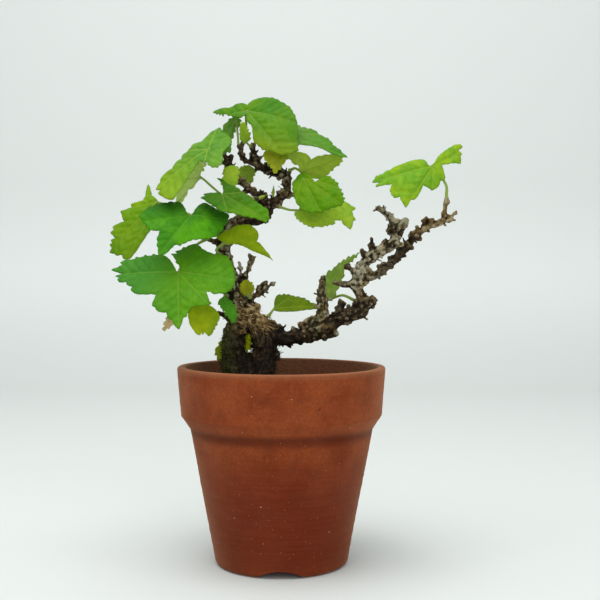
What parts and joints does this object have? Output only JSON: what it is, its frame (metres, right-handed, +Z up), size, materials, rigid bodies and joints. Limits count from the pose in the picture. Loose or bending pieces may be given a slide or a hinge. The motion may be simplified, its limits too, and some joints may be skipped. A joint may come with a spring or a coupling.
{
  "type": "bonsai tree",
  "caption": "Small mulberry bonsai with a hollow stump, one low branch sweeping to the side and lobed toothed leaves, standing in a deep-collared terracotta pot.",
  "frame": {"origin": "on the surface it stands on, under the middle of the whole tree's outline", "axes": "+Z up along the pot's axis, +X to the viewer's right towards the long low branch, -Y towards the viewer"},
  "size_m": [0.1582, 0.092, 0.2072],
  "materials": {
    "terracotta": "fired red-brown terracotta, matt, with fine throwing lines",
    "net": "black plastic net",
    "soil": "dark grained bonsai soil, hidden below the rim",
    "bark": "knotted grey-brown bark, near black and mossy at the stump",
    "green": "mid green leaf, satin",
    "deep": "deep green leaf, satin",
    "bright": "bright green leaf, satin",
    "lime": "young yellow-green leaf, satin",
    "olive": "shaded olive-green leaf, satin",
    "ochre": "ageing yellow-green leaf, satin",
    "dry": "withered pinkish leaf, matt"
  },
  "bodies": {
    "root": {"pot": "terracotta", "drain_net": "net", "soil": "soil", "wood": "bark", "leaf_branch_middle": "green", "leaf_branch_tip": "bright", "leaf_centre": "bright", "leaf_centre_low": "olive", "leaf_far_left": "lime", "leaf_hanging": "ochre", "leaf_inner_left": "lime", "leaf_inner_right": "lime", "leaf_low_left": "green", "leaf_mid_left": "deep", "leaf_right_front": "bright", "leaf_right_low": "lime", "leaf_right_pale": "lime", "leaf_stump_back": "olive", "leaf_stump_front": "green", "leaf_stump_left": "olive", "leaf_stump_right": "olive", "leaf_stump_young": "olive", "leaf_top": "green", "leaf_top_back": "deep", "leaf_top_right": "green", "leaf_under_left": "lime", "leaf_upper_left": "lime", "leaf_withered": "dry", "leaf_young_top": "lime"}
  },
  "joints": []
}
